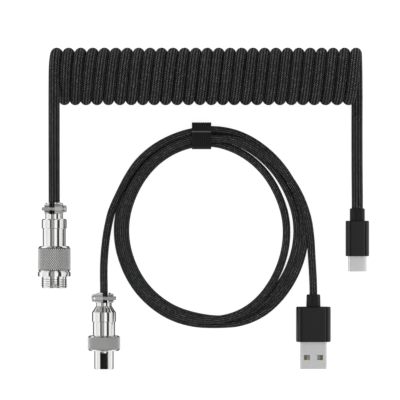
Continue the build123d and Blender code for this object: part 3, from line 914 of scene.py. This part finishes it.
socketBodyValues = {
    "sides": 48,
    "knurlRows": 8,
    "knurlDepth": 0.32,
    "knurl": (20.5, 30.6),
    "outer": 7.5,
    "bevel": 0.12,
    # (distance from the cord end, radius): the sleeve's back, the ring and nose, the inside
    "back": [(19.65, 6.6)],
    "nose": [(30.95, 7.0), (30.95, 6.85), (31.35, 6.85), (31.35, 7.4), (33.35, 7.4), (33.35, 5.5),
             (38.4, 5.5), (38.65, 5.3)],
    "inside": [(38.65, 4.45), (30.3, 4.45), (30.3, 4.9), (23.1, 4.9), (23.1, 5.25), (19.65, 5.25)],
    "end": 38.65,
    "notchWidth": 1.3,
    "notchX": 0.6,
    "notchDepth": 2.2,
    "notchHeight": (6, 4),  # of its middle over the axis, and its own
    "spare": 0.5,
}
threadValues = {"start": 33.95, "ridge": 0.42, "crest": 6.0, "pitch": 1.0, "turns": 4.1, "steps": 40}


def makeSocketBody(values):
    start, end = values["knurl"]
    low = values["outer"] - values["knurlDepth"]
    knurled = rows(start, end, low, values["knurlRows"])
    stations = values["back"] + knurled + values["nose"] + values["inside"]
    body = turnMetal("socketKnurledBody", socketEnd, stations, values["sides"])
    roundEdges(body, values["bevel"] * mm)
    x, y, z = socketEnd
    up, height = values["notchHeight"]
    deep = values["notchDepth"]
    notch = ((x + values["notchX"], y - values["end"] + (deep - values["spare"]) / 2, z + up),
             (values["notchWidth"], deep + values["spare"], height))
    cutBox(body, *notch)
    knurl(body, bandOf(socketEnd, start, end, low), values["knurlDepth"])
    out = threadValues["crest"] - threadValues["ridge"]
    ridge = sweptRidge("socketThread", "Y", (x, y - threadValues["start"], z), (out, 0, 0),
                       threadValues, -1, math.pi / 2)
    cutBox(ridge, *notch)
    joinTo(body, ridge)
    smoothByAngle(body, 25)
    metal = makeMetal("knurledSocketNickel",
                      (socketEnd, values["knurl"], values["outer"], values["knurlDepth"]))
    return put(body, "keyboard_cable", "nickel", metal, "socket_knurled_body")


couplingValues = {
    "sides": 60,
    "knurlRows": 6,
    "knurlDepth": 0.24,
    "knurl": (20.05, 25.6),
    "outer": 7.45,
    "bevel": 0.1,
    "back": [(19.4, 6.7)],
    "inside": [(26.25, 6.7), (26.25, 6.1), (25.75, 5.5), (20.95, 5.5), (20.95, 4.55), (19.4, 4.55)],
}


def makeCouplingRing(values):
    start, end = values["knurl"]
    low = values["outer"] - values["knurlDepth"]
    stations = values["back"] + rows(start, end, low, values["knurlRows"]) + values["inside"]
    ring = turnMetal("couplingRing", plugEnd, stations, values["sides"])
    roundEdges(ring, values["bevel"] * mm)
    knurl(ring, bandOf(plugEnd, start, end, low), values["knurlDepth"])
    smoothByAngle(ring, 25)
    metal = makeMetal("knurledRingNickel",
                      (plugEnd, values["knurl"], values["outer"], values["knurlDepth"]))
    return put(ring, "coupling_ring", "nickel", metal, "plug_coupling_ring")


socketBody = makeSocketBody(socketBodyValues)
couplingRing = makeCouplingRing(couplingValues)
print("turned pieces", len(socketBody.data.polygons), len(couplingRing.data.polygons))


# piece name, bevel in mm, bevel segments
refinedPieces = {
    "socket_back_shell": ("socketBackShell", 0.15, 3),
    "socket_clamp_saddle": ("socketClampSaddle", 0.25, 3),
    "socket_clamp_screws": ("socketClampScrews", 0.06, 2),
    "plug_back_shell": ("plugBackShell", 0.15, 3),
    "plug_clamp_saddle": ("plugClampSaddle", 0.25, 3),
    "plug_clamp_screws": ("plugClampScrews", 0.06, 2),
    "plug_slotted_barrel": ("plugBarrel", 0.1, 2),
    "plug_insulator": ("plugInsulator", 0.08, 2),
    "usb_c_strain_relief": ("usbCStrainRelief", 0.15, 2),
    "usb_c_shell": ("usbCShell", 0.05, 2),
    "usb_a_strain_relief": ("usbAStrainRelief", 0.15, 2),
    "usb_a_shell": ("usbAShell", 0.06, 2),
}
recordParts = {part["node"]: part for part in frame["record"]["subparts"]}
bodyOf = {}
for body, members in frame["record"]["behaviour"]["bodies"].items():
    for member in members:
        bodyOf[member] = body
finishes = {
    "nickel": brightNickel,
    "screw_steel": brightNickel,
    "plug_steel": plugSteel,
    "gold_contact": goldContact,
    "black_insulator": blackInsulator,
    "white_insulator": whiteInsulator,
    "black_plastic": satinPlastic,
    "soft_black_plastic": softPlastic,
    "cable_jacket": softPlastic,
    "wire_insulation": wireRed,
    "circuit_board": boardGreen,
    "black_braid": blackBraid,
    "strap_nylon": strapNylon,
}


# the clamp screws lie along X, one "aside" above and one below the connector's axis
screwThreads = {
    "socket_clamp_screws": {"end": socketEnd, "along": 2.775, "aside": 4.35, "side": 1},
    "plug_clamp_screws": {"end": plugEnd, "along": 2.45, "aside": 3.65, "side": -1},
}
screwRidge = {"radius": 0.8, "ridge": 0.2, "pitch": 0.55, "start": -5.3, "turns": 9.9, "steps": 16}


def threadScrews(piece, values):
    # two fine helical ridges, one round each screw's shank
    x, y, z = values["end"]
    side = values["side"]
    out = (0, screwRidge["radius"] - screwRidge["ridge"] / 2, 0)
    ridges = []
    for up in (-1, 1):
        centre = (x + side * screwRidge["start"], y - values["along"], z + up * values["aside"])
        ridges.append(sweptRidge("ridge", "X", centre, out, screwRidge, side))
    joinTo(piece, *ridges)


# welding distance in m, then angles in degrees: flat enough to dissolve, sharp enough to round
refining = {"weld": 2e-6, "flat": 0.5, "sharp": 32}


def refineNode(nodeName, name, bevel, segments):
    # the CAD piece's own mesh, welded, its flat triangles dissolved and its edges rounded
    source = nodes[nodeName]
    piece = bpy.data.objects.new(name, source.data.copy())
    bpy.context.scene.collection.objects.link(piece)
    piece.matrix_world = source.matrix_world.copy()
    settle(piece, name)
    editAll(piece)
    bpy.ops.mesh.customdata_custom_splitnormals_clear()
    bpy.ops.mesh.remove_doubles(threshold=refining["weld"])
    bpy.ops.mesh.dissolve_limited(angle_limit=math.radians(refining["flat"]), delimit={"NORMAL"})
    bpy.ops.mesh.normals_make_consistent(inside=False)
    roundEdges(piece, bevel * mm, segments, refining["sharp"])
    smoothByAngle(piece, refining["sharp"])
    evenNormals(piece)
    slotName = recordParts[nodeName]["material_slot"]
    metal = castNickel if nodeName.endswith("clamp_saddle") else finishes[slotName]
    put(piece, bodyOf[nodeName], slotName, metal, nodeName)
    return piece


for nodeName, (name, bevel, segments) in refinedPieces.items():
    piece = refineNode(nodeName, name, bevel, segments)
    if nodeName in screwThreads:
        threadScrews(piece, screwThreads[nodeName])
print("cast, moulded and pressed pieces:", len(refinedPieces))


# "end" is where the cord enters; "span" and a seat's "from" are distances from there
housings = {
    "usb_c_overmould": {
        "name": "usbCHousing",
        "end": (69.75, 15.95, 3.2),
        "width": 10.6,
        "thickness": 6.4,
        "span": (5.6, 21.7),
        "corner": 2.6,
        "seats": [(8.34, 2.56, 16.0), (7.2, 0.8, 8.5)],  # width, thickness, from: shell, then board
    },
    "usb_a_housing": {
        "name": "usbAHousing",
        "end": (49.8, -23.05, 4.0),
        "width": 15.6,
        "thickness": 8.0,
        "span": (5.6, 21.5),
        "corner": 2.8,
        "seats": [(12.0, 4.5, 12.5), (11.4, 4.0, 8.5)],
    },
}
moulding = {"cornerSegments": 14, "rim": 0.45, "rimSegments": 3, "rimAngle": 50, "spare": 1}


def makeHousing(nodeName, values):
    # a block with full round long edges, small round rims, and seats cut into its far end
    x, y, z = values["end"]
    start, end = values["span"]
    deselectAll()
    bpy.ops.mesh.primitive_cube_add(size=1, location=inMetres((x, y - (start + end) / 2, z)))
    housing = bpy.context.object
    housing.scale = inMetres((values["width"], end - start, values["thickness"]))
    settle(housing, values["name"])

    def lengthways(edge):
        a, b = (housing.data.vertices[index].co for index in edge.vertices)
        return abs(a.y - b.y) > mm

    selectOnly(housing, "edges", lengthways)
    bpy.ops.mesh.bevel(offset=values["corner"] * mm, segments=moulding["cornerSegments"],
                       affect="EDGES")
    bpy.ops.object.mode_set(mode="OBJECT")
    roundEdges(housing, moulding["rim"] * mm, moulding["rimSegments"], moulding["rimAngle"])
    end += moulding["spare"]
    for width, thickness, fromEnd in values["seats"]:
        cutBox(housing, (x, y - (fromEnd + end) / 2, z), (width, end - fromEnd, thickness))
    smoothByAngle(housing, 40)
    evenNormals(housing)
    slotName = recordParts[nodeName]["material_slot"]
    put(housing, bodyOf[nodeName], slotName, finishes[slotName], nodeName)


for nodeName, values in housings.items():
    makeHousing(nodeName, values)
print("housings moulded")


strapValues = {
    "x": -0.9,
    "width": 8.8,
    "thickness": 0.9,
    "low": (42.7, 0.0),  # y and z of the band's outline
    "high": (55.0, 8.6),
    "corner": 2.6,
    "ribs": 9,
    "stepsPerRib": 4,
    "fullness": 0.7,
    "rib": 0.2,
    "weave": 0.05,
    "step": 0.4,
    "tail": (50.4, 53.95),
    "tailLow": 8.65,
    "cutCorner": (1.1, 1.8),  # the tail's slanted corner at the left of its root
    "flare": (0.35, 1.5),  # how far the cut end spreads at its right, and from how far away
}


def bandLine(values):
    # the band's closed outline, seen along X: places and outward directions
    (y0, z0), (y1, z1), corner = values["low"], values["high"], values["corner"]
    line = []
    turns = ((y1 - corner, z0 + corner, -90), (y1 - corner, z1 - corner, 0),
             (y0 + corner, z1 - corner, 90), (y0 + corner, z0 + corner, 180))
    for cy, cz, first in turns:
        for index in range(9):
            angle = math.radians(first + index * 90 / 8)
            out = (math.cos(angle), math.sin(angle))
            line.append(((cy + corner * out[0], cz + corner * out[1]), out))
    full = []
    for (place, out), (nextPlace, nextOut) in zip(line, line[1:] + line[:1]):
        steps = max(1, round(math.dist(place, nextPlace) / values["step"]))
        for index in range(steps):
            share = index / steps
            full.append((tuple(mix(a, b, share) for a, b in zip(place, nextPlace)),
                         tuple(mix(a, b, share) for a, b in zip(out, nextOut))))
    return full


def webbing(name, line, values, edges, closed):
    # ribbed sheet: at each place of the line a row of points over and under the weave
    across = values["ribs"] * values["stepsPerRib"]
    top, under = [], []
    for index, ((y, z), (outY, outZ)) in enumerate(line):
        left, right = edges(index)
        for column in range(across + 1):
            share = column / across
            x = values["x"] + mix(left, right, share)
            crest = abs(math.sin(math.pi * share * values["ribs"])) ** values["fullness"]
            scallop = values["rib"] * crest
            knot = values["weave"] * ((index + column // 2) % 2)
            depth = values["rib"] - scallop + knot
            top.append((x, y - outY * depth, z - outZ * depth))
            deep = values["thickness"] - values["rib"] + scallop
            under.append((x, y - outY * deep, z - outZ * deep))
    count, wide = len(line), across + 1
    faces = []
    last = count if closed else count - 1
    base = count * wide
    for row in range(last):
        after = (row + 1) % count
        for column in range(across):
            a, b = row * wide + column, row * wide + column + 1
            c, d = after * wide + column + 1, after * wide + column
            faces.append((a, b, c, d))
            faces.append((base + d, base + c, base + b, base + a))
        for column in (0, across):
            faces.append((row * wide + column, after * wide + column,
                          base + after * wide + column, base + row * wide + column))
    if not closed:
        for row in (0, count - 1):
            for column in range(across):
                a, b = row * wide + column, row * wide + column + 1
                faces.append((a, b, base + b, base + a))
    mesh = bpy.data.meshes.new(name)
    mesh.from_pydata([inMetres(place) for place in top + under], [], faces)
    piece = bpy.data.objects.new(name, mesh)
    bpy.context.scene.collection.objects.link(piece)
    editAll(piece)
    bpy.ops.mesh.normals_make_consistent(inside=False)
    smoothByAngle(piece, 50)
    return piece


def makeStrap(values):
    half = values["width"] / 2
    line = bandLine(values)
    band = webbing("strapBand", line, values, lambda index: (-half, half), True)
    put(band, "host_cable", "strap_nylon", strapNylon, "strap_band")
    tip, root = values["tail"]
    top = values["tailLow"] + values["thickness"]
    count = int((root - tip) / values["step"])
    tailLine = [((mix(tip, root, index / count), top), (0, 1)) for index in range(count + 1)]
    cut, cutLength = values["cutCorner"]
    flare, flareLength = values["flare"]

    def tailEdges(index):
        fromRoot = (count - index) * (root - tip) / count
        slant = cut * max(0, 1 - fromRoot / cutLength)
        spread = flare * max(0, 1 - (root - tip - fromRoot) / flareLength)
        return -half + slant, half - flare + spread

    tail = webbing("strapTail", tailLine, values, tailEdges, False)
    put(tail, "strap_tail", "strap_nylon", strapNylon, "strap_tail")


makeStrap(strapValues)
print("strap woven")


floorValues = {
    "glow": 0.9,  # a lit table top: its shadows stay faint
    "colour": 0.3,
    "darkFrom": 0.5,  # steepness from which the floor turns dark for glossy rays only: a painted dark reflection along the metal's edges
    "darkTo": 0.66,
    "reflectionDarkness": 0.9,
    "roughness": 0.9,
    "size": 6,  # m
    "below": -0.02 * mm,
}


def makeFloor(values):
    deselectAll()
    bpy.ops.mesh.primitive_plane_add(size=values["size"], location=(0, 0, values["below"]))
    floor = bpy.context.object
    floor.name = "paleTable"
    material, tree, shader = newMaterial("paleTable")
    upwards = axesOf(tree, tree.nodes.new("ShaderNodeNewGeometry").outputs["Incoming"])[2]
    steep = calc(tree, "DIVIDE", minus(tree, upwards, values["darkFrom"]),
                 values["darkTo"] - values["darkFrom"], clamp=True)
    path = tree.nodes.new("ShaderNodeLightPath")
    # darkened for glossy rays only, a painted reflection; camera and diffuse rays see the floor pale
    dark = times(tree, steep, path.outputs["Is Glossy Ray"])
    shade = minus(tree, 1.0, times(tree, dark, values["reflectionDarkness"]))
    feed(tree, shader, {
        "Emission Strength": times(tree, shade, values["glow"]),
        "Emission Color": (1, 1, 1),
        "Base Color": times(tree, shade, values["colour"]),
        "Roughness": values["roughness"],
        "Specular IOR Level": 0.0,
    })
    floor.data.materials.append(material)


# brightness of the studio round the metal's long axis: degrees from straight up towards +X
studioBands = [(-180, 0.2), (-120, 0.5), (-95, 0.85), (-60, 0.95), (-42, 1.1), (-36, 0.07),
               (-26, 0.07), (-21, 0.42), (3, 0.34), (7, 1.1), (28, 1.1), (32, 0.04), (52, 0.05),
               (58, 1.05), (75, 0.9), (95, 0.85), (120, 0.5), (180, 0.2)]
# the studio is darker at both ends of that axis
studioEnds = {"from": 0.45, "to": 0.85, "dimming": 0.6}


def makeStudio():
    world = bpy.data.worlds.new("softStudio")
    bpy.context.scene.world = world
    world.use_nodes = True
    tree = world.node_tree
    background = tree.nodes["Background"]
    x, y, z = axesOf(tree, tree.nodes.new("ShaderNodeTexCoord").outputs["Generated"])
    roll = calc(tree, "ARCTAN2", x, z)
    endways = calc(tree, "ABSOLUTE", y)
    dim = calc(tree, "DIVIDE", minus(tree, endways, studioEnds["from"]),
               studioEnds["to"] - studioEnds["from"], clamp=True)
    kept = minus(tree, 1.0, times(tree, dim, studioEnds["dimming"]))
    share = calc(tree, "MULTIPLY_ADD", roll, 1 / (2 * math.pi), 0.5)
    ramp = tree.nodes.new("ShaderNodeValToRGB")
    feed(tree, ramp, {0: share})
    stops = ramp.color_ramp.elements
    while len(stops) > 1:
        stops.remove(stops[-1])
    for index, (degrees, value) in enumerate(studioBands):
        place = degrees / 360 + 0.5
        stop = stops[0] if index == 0 else stops.new(place)
        stop.position = place
        stop.color = (value, value, value, 1)
    path = tree.nodes.new("ShaderNodeLightPath")
    seen = blendColour(tree, path.outputs["Is Camera Ray"], ramp.outputs["Color"], (1.0, 1.0, 1.0))
    strength = calc(tree, "MAXIMUM", kept, path.outputs["Is Camera Ray"])
    feed(tree, background, {"Color": seen, "Strength": strength})


# name, place and size in m, power in watts
lamps = [
    ("softKey", (-0.6, 0.6, 1.2), 1.2, 3),
    ("softFill", (0.8, -0.7, 1.1), 1.3, 2),
]


def makeAreaLight(name, place, size, power):
    data = bpy.data.lights.new(name, "AREA")
    data.shape = "DISK"
    data.size = size
    data.energy = power
    light = bpy.data.objects.new(name, data)
    bpy.context.scene.collection.objects.link(light)
    light.location = place
    light.rotation_euler = (-Vector(place)).to_track_quat("-Z", "Y").to_euler()
    light.visible_glossy = False  # the studio alone makes the metal's stripes


makeFloor(floorValues)
makeStudio()
for lamp in lamps:
    makeAreaLight(*lamp)
print("stage ready")


for nodeName, node in nodes.items():
    slotName = recordParts[nodeName]["material_slot"]
    node.data.materials.clear()
    node.data.materials.append(finishes[slotName])

bpy.context.scene.view_settings.view_transform = "Standard"
